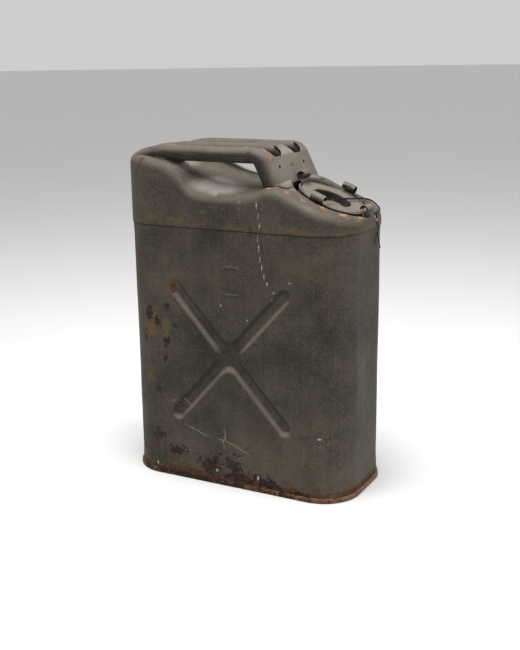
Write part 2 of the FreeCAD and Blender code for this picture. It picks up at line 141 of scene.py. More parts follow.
def repaint(node, material):
    """A new finish on a CAD node that stays as it is."""
    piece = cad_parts[node]
    piece.data.materials.clear()
    piece.data.materials.append(material)


def finish_piece(piece, body, material):
    piece.data.materials.clear()
    piece.data.materials.append(material)
    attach(piece, body)
    return piece


# --------------------------------------------------------------- materials

class Shader:
    """Adds nodes to one material; its methods return output sockets."""

    def __init__(self, name):
        self.material = bpy.data.materials.new(name)
        self.material.use_nodes = True
        self.nodes = self.material.node_tree.nodes
        self.links = self.material.node_tree.links
        self.nodes.clear()
        self.place = self.nodes.new("ShaderNodeTexCoord").outputs["Object"]

    def plug(self, socket, value):
        if isinstance(value, bpy.types.NodeSocket):
            self.links.new(value, socket)
        elif hasattr(value, "__len__") and len(value) == 3 and socket.type == "RGBA":
            socket.default_value = (*value, 1)
        else:
            socket.default_value = value

    def maths(self, operation, a, b=0.0, c=0.0):
        node = self.nodes.new("ShaderNodeMath")
        node.operation = operation
        for socket, value in zip(node.inputs, (a, b, c)):
            self.plug(socket, value)
        return node.outputs[0]

    def vector(self, operation, a, b=(0, 0, 0), output="Vector"):
        node = self.nodes.new("ShaderNodeVectorMath")
        node.operation = operation
        self.plug(node.inputs[0], a)
        self.plug(node.inputs[1], b)
        return node.outputs[output]

    def noise(self, scale, detail=3.0, rough=0.55, place=None, colour=False):
        node = self.nodes.new("ShaderNodeTexNoise")
        self.plug(node.inputs["Vector"], place or self.place)
        node.inputs["Scale"].default_value = scale
        node.inputs["Detail"].default_value = detail
        node.inputs["Roughness"].default_value = rough
        return node.outputs["Color" if colour else "Fac"]

    def cells(self, scale, place=None, feature="F1"):
        node = self.nodes.new("ShaderNodeTexVoronoi")
        node.feature = feature
        self.plug(node.inputs["Vector"], place or self.place)
        node.inputs["Scale"].default_value = scale
        return node.outputs["Distance"]

    def step(self, value, low, high, out_low=0.0, out_high=1.0):
        node = self.nodes.new("ShaderNodeMapRange")
        node.interpolation_type = "SMOOTHSTEP"
        self.plug(node.inputs["Value"], value)
        node.inputs["From Min"].default_value = low
        node.inputs["From Max"].default_value = high
        node.inputs["To Min"].default_value = out_low
        node.inputs["To Max"].default_value = out_high
        return node.outputs["Result"]

    def mix(self, share, a, b):
        node = self.nodes.new("ShaderNodeMix")
        node.data_type = "RGBA"
        self.plug(node.inputs[0], share)
        self.plug(node.inputs[6], a)
        self.plug(node.inputs[7], b)
        return node.outputs[2]

    def ramp(self, value, stops):
        node = self.nodes.new("ShaderNodeValToRGB")
        self.plug(node.inputs["Fac"], value)
        ramp = node.color_ramp
        while len(ramp.elements) < len(stops):
            ramp.elements.new(0.5)
        for element, (at, colour) in zip(ramp.elements, stops):
            element.position = at
            element.color = (*colour, 1)
        return node.outputs["Color"]

    def stretched(self, scale, turn=(0, 0, 0)):
        node = self.nodes.new("ShaderNodeMapping")
        self.plug(node.inputs["Vector"], self.place)
        node.inputs["Rotation"].default_value = [math.radians(a) for a in turn]
        node.inputs["Scale"].default_value = scale
        return node.outputs["Vector"]

    def up(self):
        """How far the surface faces up, from -1 to 1."""
        normal = self.nodes.new("ShaderNodeNewGeometry").outputs["Normal"]
        parts = self.nodes.new("ShaderNodeSeparateXYZ")
        self.plug(parts.inputs[0], normal)
        return parts.outputs["Z"]

    def axis(self, name):
        parts = self.nodes.new("ShaderNodeSeparateXYZ")
        self.plug(parts.inputs[0], self.place)
        return parts.outputs[name]

    def ragged(self, amount, scale):
        """The place shifted by noise, so that a patch gets a ragged edge."""
        shift = self.vector("SUBTRACT", self.noise(scale, 5, 0.65, colour=True), (0.5, 0.5, 0.5))
        node = self.nodes.new("ShaderNodeVectorMath")
        node.operation = "MULTIPLY_ADD"
        self.plug(node.inputs[0], shift)
        node.inputs[1].default_value = (amount, amount, amount)
        self.plug(node.inputs[2], self.place)
        return node.outputs[0]

    def patches(self, table, place):
        """Highest of many soft patches; a row is centre and radii in millimetres and a strength."""
        total = None
        for centre, radius, strength in table:
            away = self.vector("SUBTRACT", place, tuple(c * MM for c in centre))
            scaled = self.vector("DIVIDE", away, tuple(r * MM for r in radius))
            reach = self.vector("LENGTH", scaled, output="Value")
            one = self.maths("MULTIPLY_ADD", reach, -strength, strength)
            total = one if total is None else self.maths("MAXIMUM", total, one)
        return self.maths("MAXIMUM", total, 0.0)

    def broken(self, share, noise_value, gain, middle):
        """A share broken up by noise."""
        return self.maths("ADD", share, self.maths("MULTIPLY_ADD", noise_value, gain, -middle))

    def times(self, a, b):
        return self.maths("MULTIPLY", a, b)

    def surface(self, colour, rough, bump=None, depth=0.0, metal=None, specular=0.22):
        shader = self.nodes.new("ShaderNodeBsdfPrincipled")
        self.plug(shader.inputs["Base Color"], colour)
        self.plug(shader.inputs["Roughness"], rough)
        if metal is not None:
            self.plug(shader.inputs["Metallic"], metal)
        shader.inputs["Specular IOR Level"].default_value = specular
        if bump is not None:
            node = self.nodes.new("ShaderNodeBump")
            node.inputs["Strength"].default_value = 1.0
            node.inputs["Distance"].default_value = depth
            self.plug(node.inputs["Height"], bump)
            self.links.new(node.outputs["Normal"], shader.inputs["Normal"])
        output = self.nodes.new("ShaderNodeOutputMaterial")
        self.links.new(shader.outputs[0], output.inputs["Surface"])
        return self.material


RUST_DARK = (0.022, 0.011, 0.007)
RUST_MID = (0.095, 0.042, 0.019)
RUST_LIGHT = (0.25, 0.125, 0.052)
CHIP_ORANGE = (0.29, 0.178, 0.112)
BARE_PALE = (0.46, 0.39, 0.31)
DUST = (0.205, 0.172, 0.138)
# chalky worn paint, which also stands for painted light on lit tops
CHALK_AND_LIGHT = (0.288, 0.258, 0.228)
STAIN = (0.060, 0.050, 0.034)
MUD = (0.016, 0.012, 0.008)
# painted shade, put on surfaces that face down and on some parts on upright sides
UNDERSIDE_SHADE = (0.010, 0.008, 0.006)
DARK_SPECK = (0.018, 0.013, 0.009)
LIGHT_SPECK = (0.30, 0.26, 0.20)
SCRATCH = (0.27, 0.235, 0.19)
OCHRE = (0.098, 0.062, 0.024)
SEAM_RUST = (0.092, 0.060, 0.031)
# painted shade for the well, the gaps round the filler and the hollows of the lugs
GAP_SHADE = (0.006, 0.0045, 0.0035)
GRIME = (0.012, 0.010, 0.008)
FLAKE_DARK = (0.005, 0.003, 0.002)
FLAKE_LIGHT = (0.030, 0.014, 0.008)
PEEL_PALE = (0.26, 0.23, 0.19)
DRIP = (0.50, 0.47, 0.42)

PAINT_ROUGH = 0.60
STREAKS = 0.11            # how much the upright streaks change the tone

# Fine scratches: how the noise is stretched, how it is turned, and where it is cut.
SCRATCHES = [((9, 900, 900), (0, 55, 10), 0.725), ((900, 900, 7), (0, 8, 0), 0.73),
             ((900, 900, 12), (0, -24, 35), 0.74)]


def base_coat(s, fine, dark, light):
    """Blotchy paint, wiped in upright streaks, with stains and dried mud."""
    blots = s.noise(19, 7, 0.72, s.ragged(0.03, 30))
    slow = s.noise(7, 5, 0.62)
    tone = s.maths("MULTIPLY_ADD", blots, 0.45, s.times(fine, 0.50))
    tone = s.maths("MULTIPLY_ADD", slow, 0.50, tone)
    wiped = s.noise(1.0, 3, 0.6, s.stretched((160, 160, 5)))
    tone = s.maths("MULTIPLY_ADD", s.maths("SUBTRACT", wiped, 0.5), STREAKS, tone)
    colour = s.mix(s.step(tone, 0.52, 0.94), dark, light)
    stain = s.step(s.noise(16, 5, 0.7), 0.52, 0.70)
    colour = s.mix(s.times(stain, 0.18), colour, STAIN)
    mud = s.step(s.noise(31, 6, 0.7), 0.60, 0.70)
    return s.mix(s.times(mud, 0.5), colour, MUD)


def weathered(s, colour, dust, chalk_and_light, shade_facing):
    """Dust, and chalky paint with painted light, on what faces up; painted shade on what faces down, on
    some parts on upright sides too; and specks.
    """
    upward = s.up()
    dusty = s.step(upward, 0.05, 0.60)
    dusty = s.times(dusty, s.step(s.noise(24, 5, 0.7), 0.2, 0.75, dust * 0.55, dust))
    colour = s.mix(dusty, colour, DUST)
    # chalky paint and painted light, in given patches on what faces up
    if chalk_and_light:
        share = s.step(s.patches(chalk_and_light, s.ragged(0.02, 60)), 0.0, 0.6)
        share = s.times(share, s.step(upward, 0.2, 0.7))
        colour = s.mix(s.times(share, 0.75), colour, CHALK_AND_LIGHT)
    # painted shade: darker on what faces down, and on some parts on upright sides too
    shade = s.step(upward, *shade_facing)
    colour = s.mix(s.times(shade, 0.72), colour, UNDERSIDE_SHADE)
    speck = s.step(s.cells(300), 0.30, 0.16)
    speck = s.times(speck, s.step(s.noise(60, 3, 0.6), 0.52, 0.66))
    colour = s.mix(s.times(speck, 0.6), colour, DARK_SPECK)
    speck = s.step(s.cells(210), 0.17, 0.10)
    speck = s.times(speck, s.step(s.noise(45, 3, 0.6), 0.56, 0.66))
    return s.mix(s.times(speck, 0.45), colour, LIGHT_SPECK)


def scratch_lines(s):
    """Thin lines in three directions, in some places only."""
    lines = None
    for stretch, turn, cut in SCRATCHES:
        line = s.step(s.noise(1.0, 2, 0.5, s.stretched(stretch, turn)), cut, cut + 0.03)
        lines = line if lines is None else s.maths("MAXIMUM", lines, line)
    return s.times(lines, s.step(s.noise(11, 2, 0.5), 0.46, 0.58))


def filler_shade(s, colour, shade_rings, shaded_hollows):
    """Painted shade in the gaps round the filler's axis, each a radius, half width and share, and
    inside the hollow lugs.
    """
    away = s.vector("SUBTRACT", s.ragged(0.0022, 260), tuple(FILLER))
    along = s.vector("DOT_PRODUCT", away, tuple(ALONG), output="Value")
    above = s.vector("DOT_PRODUCT", away, tuple(OUTWARD), output="Value")
    across = s.vector("DOT_PRODUCT", away, (0, 1, 0), output="Value")
    reach = s.maths("SQRT", s.maths("MULTIPLY_ADD", along, along, s.times(across, across)))
    near_slope = s.step(above, -0.020, -0.018)
    for radius, half, share in shade_rings:
        off = s.maths("ABSOLUTE", s.maths("SUBTRACT", reach, radius * MM))
        inside = s.step(off, half * MM, half * MM * 0.5)
        inside = s.times(s.times(inside, near_slope), share)
        colour = s.mix(inside, colour, GAP_SHADE)
    for index, height in enumerate(shaded_hollows):
        side = (1, 1, -1, -1)[index] * LUG_RING * MM
        off = s.maths("SUBTRACT", across if index % 2 else along, side)
        rise = s.maths("SUBTRACT", above, height * MM)
        from_axis = s.maths("SQRT", s.maths("MULTIPLY_ADD", off, off, s.times(rise, rise)))
        colour = s.mix(s.step(from_axis, *LUG_HOLLOW_SHADE, 0, 0.9), colour, GAP_SHADE)
    return colour


def painted(name, dark, light, rust=(), chips=(), pale=(), ochre=(), flakes=(), peel=(), band=None,
            grime=None, dust=0.35, chalk_and_light=(), low_rust=None, worn=0.5, shade_facing=(-0.04, -0.50),
            shade_rings=(), shaded_hollows=()):
    """Old matt paint with wear in given places, and painted shade and painted light where asked;
    low_rust, band and grime are pairs of heights.
    """
    s = Shader(name)
    height_z = s.axis("Z")
    middle = s.noise(38, 5, 0.65)
    fine = s.noise(420, 3, 0.7)
    colour = base_coat(s, fine, dark, light)
    colour = weathered(s, colour, dust, chalk_and_light, shade_facing)
    lines = scratch_lines(s)
    colour = s.mix(s.times(lines, 0.55 * worn), colour, SCRATCH)
    if ochre:
        share = s.broken(s.patches(ochre, s.ragged(0.03, 45)), s.noise(120, 6, 0.75), 1.2, 0.6)
        colour = s.mix(s.step(share, 0.22, 0.66, 0, 0.72), colour, OCHRE)
    if band is not None:
        share = s.times(s.step(height_z, band[1], band[0]), s.step(s.noise(42, 6, 0.7), 0.38, 0.62))
        colour = s.mix(s.times(share, 0.6), colour, SEAM_RUST)
    # painted shade in the filler's well and gaps and in the lug hollows
    if shade_rings:
        colour = filler_shade(s, colour, shade_rings, shaded_hollows)
    if grime is not None:
        share = s.step(height_z, grime[0], grime[1])
        colour = s.mix(s.times(share, 0.85), colour, GRIME)

    rusty = s.patches(rust, s.ragged(0.02, 70))
    if low_rust is not None:
        low = s.times(s.step(height_z, low_rust[1], low_rust[0]), 0.9)
        rusty = s.maths("MAXIMUM", rusty, low)
    rusty = s.step(s.broken(rusty, s.noise(90, 6, 0.75), 1.3, 0.65), 0.42, 0.62)
    grain = s.noise(230, 6, 0.8)
    rust_colour = s.ramp(grain, [(0.36, RUST_DARK), (0.60, RUST_MID), (0.85, RUST_LIGHT)])
    colour = s.mix(rusty, colour, rust_colour)
    bare = s.patches(chips, s.ragged(0.012, 120))
    bare = s.step(s.broken(bare, s.noise(520, 7, 0.85), 1.9, 0.95), 0.46, 0.54)
    chip_stops = [(0.34, RUST_MID), (0.54, CHIP_ORANGE), (0.76, BARE_PALE)]
    colour = s.mix(bare, colour, s.ramp(s.noise(300, 5, 0.75), chip_stops))

    height = s.maths("MULTIPLY_ADD", s.noise(900, 3, 0.6), 0.10, s.times(fine, 0.12))
    height = s.maths("MULTIPLY_ADD", middle, 0.35, height)
    height = s.maths("MULTIPLY_ADD", s.times(rusty, grain), 0.9, height)
    height = s.maths("MULTIPLY_ADD", bare, -0.55, height)
    height = s.maths("MULTIPLY_ADD", lines, -0.15, height)
    if flakes:
        share = s.broken(s.patches(flakes, s.ragged(0.01, 160)), s.noise(120, 5, 0.72), 2.4, 1.25)
        share = s.step(share, 0.36, 0.46)
        colour = s.mix(share, colour, s.mix(s.noise(400, 3, 0.7), FLAKE_DARK, FLAKE_LIGHT))
        height = s.maths("MULTIPLY_ADD", share, -0.9, height)
    if peel:
        crack = s.step(s.cells(17, s.ragged(0.016, 40), "DISTANCE_TO_EDGE"), 0.030, 0.0)
        share = s.times(crack, s.step(s.patches(peel, s.ragged(0.02, 60)), 0.08, 0.3))
        colour = s.mix(s.times(share, 0.5), colour, PEEL_PALE)
        height = s.maths("MULTIPLY_ADD", share, 0.9, height)
    if pale:
        white = s.step(s.patches(pale, s.ragged(0.006, 420)), 0.30, 0.65)
        colour = s.mix(s.times(white, 0.62), colour, DRIP)
        height = s.maths("MULTIPLY_ADD", white, 0.4, height)
    gloss = s.step(middle, 0.3, 0.75, PAINT_ROUGH - 0.10, PAINT_ROUGH + 0.10)
    gloss = s.maths("MAXIMUM", gloss, s.times(s.maths("MAXIMUM", rusty, bare), 0.88))
    return s.surface(colour, gloss, height, 0.0006)


def steel(name, dark, light, rough=0.45, rust_share=0.4):
    """Dull bare steel with fine scratches and rust bloom."""
    s = Shader(name)
    tone = s.noise(320, 5, 0.7)
    colour = s.mix(s.step(tone, 0.35, 0.7), dark, light)
    bloom = s.step(s.noise(150, 6, 0.75), 0.60 - 0.25 * rust_share, 0.72 - 0.2 * rust_share)
    colour = s.mix(bloom, colour, s.ramp(s.noise(500, 5, 0.8),
                                         [(0.3, RUST_DARK), (0.55, RUST_MID), (0.8, RUST_LIGHT)]))
    gloss = s.maths("MAXIMUM", s.step(tone, 0.3, 0.8, rough, rough + 0.2), s.times(bloom, 0.9))
    metal = s.maths("SUBTRACT", 0.8, s.times(bloom, 0.8))
    return s.surface(colour, gloss, s.maths("ADD", tone, bloom), 0.0002, metal)


def rubber(name):
    s = Shader(name)
    tone = s.noise(200, 4, 0.6)
    colour = s.mix(tone, (0.012, 0.012, 0.012), (0.035, 0.034, 0.032))
    return s.surface(colour, s.step(tone, 0.3, 0.7, 0.6, 0.8), tone, 0.0001)


# ------------------------------------------------------------- wrapped body

def footprint(half_x, half_y, corner, step, arc_parts):
    """Points and outward normals round a rounded rectangle, counter-clockwise."""
    points, normals = [], []

    def straight(start, end, normal, size):
        parts = max(1, round((end - start).length / size))
        for i in range(parts):
            points.append(start.lerp(end, i / parts))
            normals.append(normal)

    def bend(centre, first):
        for i in range(arc_parts):
            angle = math.radians(first + 90 * i / arc_parts)
            out = Vector((math.cos(angle), math.sin(angle)))
            points.append(centre + out * corner)
            normals.append(out)

    x, y = half_x - corner, half_y - corner
    straight(Vector((half_x, -y)), Vector((half_x, y)), Vector((1, 0)), 2 * step)
    bend(Vector((x, y)), 0)
    straight(Vector((x, half_y)), Vector((-x, half_y)), Vector((0, 1)), step)
    bend(Vector((-x, y)), 90)
    straight(Vector((-half_x, y)), Vector((-half_x, -y)), Vector((-1, 0)), 2 * step)
    bend(Vector((-x, -y)), 180)
    straight(Vector((-x, -half_y)), Vector((x, -half_y)), Vector((0, -1)), step)
    bend(Vector((x, -y)), 270)
    return points, normals


def smoothstep(value):
    value = min(max(value, 0.0), 1.0)
    return value * value * (3 - 2 * value)


def pressed_x(x, z):
    """Depth of the pressed X at a place on the broad side."""
    along = X_ARM.normalized()
    place = Vector((x, z - X_CENTRE_Z))
    reach = X_ARM.length
    away = []
    for arm in (along, Vector((along.x, -along.y))):
        run = min(max(place.dot(arm), -reach), reach)
        away.append((place - arm * run).length)
    blend = 17 * MM
    meet = max(blend - abs(away[0] - away[1]), 0) / blend
    distance = min(away) - meet * meet * blend / 4
    return X_DEPTH * smoothstep((X_HALF_WIDTH + 2.4 * MM - distance) / (8.2 * MM))


def raised_square(x, z):
    """Height of the plain square bead above the X."""
    cx, cz, half_x, half_z = MARK
    bead, corner = 2.3 * MM, 7 * MM
    dx = abs(x - cx) - (half_x - bead - corner)
    dz = abs(z - cz) - (half_z - bead - corner)
    outside = math.hypot(max(dx, 0), max(dz, 0)) + min(max(dx, dz), 0) - corner
    return 1.15 * MM * smoothstep(1 - abs(outside) / bead)


def body_waves(x, y, z):
    """Slow hand-worn unevenness of the sheet."""
    slow = noise.noise(Vector((x * 9, y * 9, z * 8)))
    quick = noise.noise(Vector((x * 31 + 5, y * 31, z * 24)))
    return (slow * 0.9 + quick * 0.28) * MM


BODY_DENTS = [
    ((-128, -81, 78), (26, 30, 20), (0, 1.6, 0)),
    ((-105, -81, 62), (30, 30, 9), (0, 1.0, 0)),
    ((96, -81, 236), (22, 30, 30), (0, 0.9, 0)),
    ((60, -81, 60), (30, 30, 14), (0, 1.0, 0)),
    ((-60, -81, 300), (34, 30, 26), (0, 0.8, 0)),
    ((20, 81, 110), (40, 30, 30), (0, -1.4, 0)),
    ((-90, 81, 250), (30, 30, 24), (0, -1.2, 0)),
    ((120, 81, 310), (26, 30, 22), (0, -1.0, 0)),
    ((-171, 20, 150), (30, 26, 34), (1.3, 0, 0)),
    ((-171, -26, 290), (30, 20, 30), (0.9, 0, 0)),
    ((171, 14, 210), (30, 22, 40), (-0.9, 0, 0)),
    ((171, -22, 60), (30, 18, 20), (-0.8, 0, 0)),
]


def body_levels(step):
    """Heights of the rows of points, closer together where the X and the square are pressed."""
    levels = [BODY_LOW.z + i * FOOT_ROW * MM for i in range(FOOT_ROWS)]
    low = levels[-1]
    parts = round((FINE_TOP - low) / step)
    levels += [low + (FINE_TOP - low) * (i + 1) / parts for i in range(parts)]
    levels += [FINE_TOP + (BODY_HIGH.z - FINE_TOP) * (i + 1) / TOP_ROWS for i in range(TOP_ROWS)]
    return levels


def make_body():
    step = 1.8 * MM
    loop, normals = footprint(BODY_HIGH.x, -BODY_LOW.y, BODY_CORNER, step, 30)
    levels = body_levels(step)
    points = []
    for z in levels:
        ends = smoothstep((z - 10 * MM) / (30 * MM)) * smoothstep((SEAM - z) / (20 * MM))
        for place, normal in zip(loop, normals):
            out = ends * (body_waves(place.x, place.y, z) - 0.7 * MM)
            if abs(normal.y) > 0.99:
                out -= pressed_x(place.x, z)
                out += raised_square(place.x, z)
            if normal.x < -0.99:
                out += 0.5 * MM * smoothstep(1 - abs(place.y) / (2.2 * MM))
            points.append((place.x + normal.x * out, place.y + normal.y * out, z))
    places = np.array(points)
    places += dents(places, BODY_DENTS)
    body = mesh_piece("body_skin", places, grid_faces(len(levels), len(loop)), 60)
    wall = body.modifiers.new("wall", "SOLIDIFY")
    wall.thickness = 0.9 * MM
    wall.offset = -1
    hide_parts("body_shell")
    return body


# ---------------------------------------------------------------- top shell

def in_filler(points):
    """Along the slope, across and above it, in millimetres, of many points."""
    away = (points - np.array(FILLER)) / MM
    return away @ np.array(ALONG), away[:, 1], away @ np.array(OUTWARD)


TOP_DENTS = [
    ((-20, -70, 412), (34, 20, 16), (0, 1.2, -1.8)),
    ((18, -76, 404), (22, 18, 12), (0, 1.4, -0.8)),
    ((-75, -78, 400), (26, 16, 22), (0, 1.5, 0)),
    ((-55, 76, 398), (30, 16, 22), (0, -1.6, 0)),
    ((10, 70, 414), (30, 20, 16), (0, -1.0, -1.4)),
    ((-8, -20, 434), (22, 30, 12), (0, 0, -1.2)),
    ((-172, 15, 410), (14, 30, 20), (1.2, 0, 0)),
    ((88, -74, 396), (20, 14, 14), (0, 1.0, 0)),
    ((96, 62, 412), (16, 10, 10), (0, 0, -1.0)),
]


def top_shape(points):
    """Dents of the top, and the rolled lip that stands up round the filler's well."""
    moved = dents(points, TOP_DENTS)
    s, y, h = in_filler(points)
    radius = np.hypot(s, y)
    lip = 1.3 * np.exp(-((radius - 59.5) / 3.0) ** 2) * (h > -12)
    share = np.clip((np.array(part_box("top_shell")[1].z) - points[:, 2]) / (2 * MM), 0, 1)
    moved += (lip * share)[:, None] * np.array(OUTWARD) * MM
    angle = np.arctan2(y, s)
    uneven = 0.35 * np.sin(3 * angle + 0.6) + 0.25 * np.sin(7 * angle + 2.0) + 0.15 * np.sin(13 * angle)
    near = np.exp(-((radius - 58) / 5.0) ** 2) * (h > -14)
    moved += (uneven * near)[:, None] * np.array(OUTWARD) * MM
    return moved


HANDLE_DENTS = [
    ((-20, -59, 473), (30, 14, 8), (0, 0, -0.7)),
    ((-70, 0, 473), (26, 14, 8), (0, 0, -0.5)),
    ((12, 59, 473), (26, 14, 8), (0, 0, -0.6)),
    ((66, 10, 436), (14, 26, 14), (-0.5, 0, -0.2)),
]


def handle_shape(points):
    return dents(points, HANDLE_DENTS)


def hem_shape(points):
    """The rolled hem is beaten in a little, more in some places than in others."""
    moved = np.zeros_like(points)
    for i, place in enumerate(points):
        at = Vector(place)
        if at.z < 8 * MM:
            beat = 0.45 + 0.35 * noise.noise(at * 45) + 0.35 * noise.noise(at * 160)
            inward = Vector((-at.x, -at.y * 2, 0)).normalized()
            moved[i] = inward * max(beat, 0) * MM
            lift = max(noise.noise(at * 90 + Vector((7, 0, 0))) + 0.5, 0)
            moved[i][2] = 0.25 * MM * lift * (at.z < 3 * MM)
    return moved


# ------------------------------------------------------------------ the cap

def to_can(s, y, h):
    """A place given along the slope, across and above it, in millimetres."""
    return FILLER + (ALONG * s + Vector((0, 1, 0)) * y + OUTWARD * h) * MM


def rounded_outline(corners, parts=6):
    """A closed outline whose corners, given as (r, h, radius), are rounded."""
    outline = []
    count = len(corners)
    for i, (r, h, radius) in enumerate(corners):
        here = Vector((r, h))
        back = Vector(corners[i - 1][:2]) - here
        ahead = Vector(corners[(i + 1) % count][:2]) - here
        half = back.angle(ahead) / 2
        cut = min(radius / math.tan(half), back.length * 0.49, ahead.length * 0.49)
        first, last = here + back.normalized() * cut, here + ahead.normalized() * cut
        for j in range(parts + 1):
            t = j / parts
            outline.append(first.lerp(here, t).lerp(here.lerp(last, t), t))
    return outline


def turned(name, corners, around, shape=None):
    """A ring turned round the filler's axis from a rounded outline; shape may move its points."""
    outline = rounded_outline(corners)
    points = []
    for i in range(around):
        angle = 2 * math.pi * i / around
        for r, h in outline:
            dr, dh = shape(r, h, angle) if shape else (0, 0)
            points.append(to_can((r + dr) * math.cos(angle), (r + dr) * math.sin(angle), h + dh))
    rows, columns = around, len(outline)
    faces = []
    for i in range(rows):
        j = (i + 1) % rows
        for c in range(columns):
            d = (c + 1) % columns
            faces.append((i * columns + c, j * columns + c, j * columns + d, i * columns + d))
    return mesh_piece(name, points, faces, 50)


def plate_shape(r, h, angle):
    """The plate is slightly crowned and hand-worn."""
    wave = 0.25 * math.sin(2 * angle + 0.7) + 0.18 * math.sin(5 * angle)
    rise = 0.5 * math.exp(-((r - 36) / 8) ** 2)
    return 0, rise + wave * smoothstep((r - 26) / 12)


def make_plate():
    corners = [(47.6, PLATE_LOW, 0.6), (47.6, -0.5, 0.8), (45.7, -0.5, 0.8), (44.9, -2.0, 0.4),
               (43.7, -2.0, 0.4), (43.0, PLATE_HIGH, 0.6), (26.3, PLATE_HIGH, 3.4),
               (24.6, -13.0, 2.4), (0.01, -13.3, 0.01), (0.01, -14.9, 0.01),
               (26.2, -14.9, 3.2), (27.6, PLATE_LOW, 1.2)]
    return turned("cap_plate", corners, 160, plate_shape)


def lug_line(height):
    """Middle of the lug's sheet, outwards and up: a ramp from the plate, then the curl."""
    start, end = Vector((40.5, -1.75)), Vector((LUG_RING, height - LUG_MIDDLE))
    run, rise = end.x - start.x, end.y - start.y
    line = []
    for i in range(9):
        t = i / 9
        line.append(Vector((start.x + run * t, start.y + rise * smoothstep(t))))
    for i in range(29):
        angle = math.radians(-90 + 288 * i / 28)
        radius = LUG_MIDDLE - 0.035 * i
        line.append(Vector((LUG_RING + radius * math.cos(angle), height + radius * math.sin(angle))))
    return line


def make_lug(index, height):
    """One lug rolled from the plate's sheet."""
    line = lug_line(height)
    turn = math.pi / 2 * index
    sheet, half = 0.75, 9.4
    across = [-1.0, -0.97, -0.6, -0.2, 0.2, 0.6, 0.97, 1.0]
    points = []
    for i, place in enumerate(line):
        ahead = line[min(i + 1, len(line) - 1)] - line[max(i - 1, 0)]
        normal = Vector((-ahead.y, ahead.x)).normalized()
        wide = half * (0.86 + 0.14 * smoothstep(i / 8)) - 0.5 * smoothstep((i - 26) / 11)
        for side in (1, -1):
            for a in (across if side > 0 else across[::-1]):
                thin = sheet * (1 if abs(a) < 0.98 else 0.55)
                edge = place + normal * thin * side
                r, t = edge.x, a * wide
                s = r * math.cos(turn) - t * math.sin(turn)
                y = r * math.sin(turn) + t * math.cos(turn)
                points.append(to_can(s, y, edge.y))
    columns = 2 * len(across)
    faces = grid_faces(len(line), columns)
    faces.append(tuple(range(columns))[::-1])
    last = (len(line) - 1) * columns
    faces.append(tuple(range(last, last + columns)))
    return mesh_piece("cap_lug_%d" % (index + 1), points, faces, 50)


def make_cap_bead():
    """Rolled lower edge and skirt of the cap's cup, seen through the gap round the plate."""
    corners = [(43.9, -14.7, 0.3), (46.9, -14.7, 1.5), (46.9, -11.8, 1.5), (45.5, -11.2, 0.3),
               (45.6, -2.4, 1.2), (27.0, -2.4, 0.2), (27.0, -3.8, 0.2), (43.9, -3.8, 0.6)]
    return turned("cap_cup", corners, 160)


# -------------------------------------------------------------------- wires

def smooth_path(name, points, parts=12):
    """Places along a smooth curve guided by given points."""
    data = bpy.data.curves.new(name + "_line", "CURVE")
    data.dimensions = "3D"
    data.resolution_u = parts
    spline = data.splines.new("NURBS")
    spline.points.add(len(points) - 1)
    for point, place in zip(spline.points, points):
        point.co = (*place, 1)
    spline.order_u = 3
    spline.use_endpoint_u = True
    helper = new_object(name + "_line", data)
    bpy.context.view_layer.update()
    line = bpy.data.meshes.new_from_object(helper)
    path = [v.co.copy() for v in line.vertices]
    bpy.data.objects.remove(helper)
    bpy.data.meshes.remove(line)
    return path


def wire(name, points, radius, bumps, seed):
    """Round wire along a smooth curve, with rounded ends."""
    return tube_along(name, smooth_path(name, points), radius, bumps, seed, 12)


def twisted(name, points, radius, pitch, seed):
    """Two thin strands twisted round one another along a smooth curve."""
    path = smooth_path(name, points, 24)
    strands = []
    for strand in range(2):
        side, run, line = Vector((1, 0, 0)), 0.0, []
        for i, place in enumerate(path):
            ahead = (path[min(i + 1, len(path) - 1)] - path[max(i - 1, 0)]).normalized()
            side = (side - ahead * side.dot(ahead)).normalized()
            run += (place - path[i - 1]).length if i else 0.0
            angle = 2 * math.pi * run / pitch + math.pi * strand
            out = side * math.cos(angle) + ahead.cross(side) * math.sin(angle)
            line.append(place + out * radius * 0.46)
        label = "%s_strand_%d" % (name, strand + 1)
        strands.append(tube_along(label, line, radius * 0.54, 0.15, seed + strand, 10))
    return strands


def tube_along(name, path, radius, bumps, seed, around):
    """A round tube along a path, with rounded ends and a slightly uneven surface."""
    points = []
    side = None
    ends = len(path) - 1
    for i, place in enumerate(path):
        ahead = (path[min(i + 1, ends)] - path[max(i - 1, 0)]).normalized()
        if side is None:
            side = ahead.orthogonal().normalized()
        side = (side - ahead * side.dot(ahead)).normalized()
        other = ahead.cross(side)
        size = radius * (1 + bumps * noise.noise(place * 700 + Vector((seed, 0, 0))))
        if i in (0, ends):
            size *= 0.55
        for j in range(around):
            angle = 2 * math.pi * j / around
            points.append(place + (side * math.cos(angle) + other * math.sin(angle)) * size)
    faces = grid_faces(len(path), around)
    faces.append(tuple(range(around))[::-1])
    faces.append(tuple(range(ends * around, len(path) * around)))
    return mesh_piece(name, points, faces, 60)


# Guide points of the wires: along the slope, across and above it; the tails hang at TAIL_X.
CAP_WIRE = [(6.5, -41.5, 5.4), (10, -30, 4.6), (12, -8, 3.2), (13, 8, 2.6), (17.5, 22, 2.4),
            (22, 38, 2.6), (25.2, 50.2, 3.0)]
RIM_WIRE = [(25.7, 51.3, 2.2), (28.5, 57.5, 2.0), (34, 61.4, 1.2), (42, 60.8, -0.6),
            (50, 52.8, -0.8), (54.5, 42.2, -0.4), (56.8, 31.2, -0.1), (56.8, 21.6, -0.1)]
WIRE_R = 1.2 * MM
TAIL_R = 0.8 * MM
TAIL_PITCH = 5 * MM
TAIL_X = 173.65
LONG_TAIL = [(20.5, 373.7), (28, 367), (23, 358), (28, 347), (34, 335)]
SHORT_TAIL = [(25.6, 362.4), (20.5, 355.5), (12, 344.5)]


# -------------------------------------------------------------- camera, light

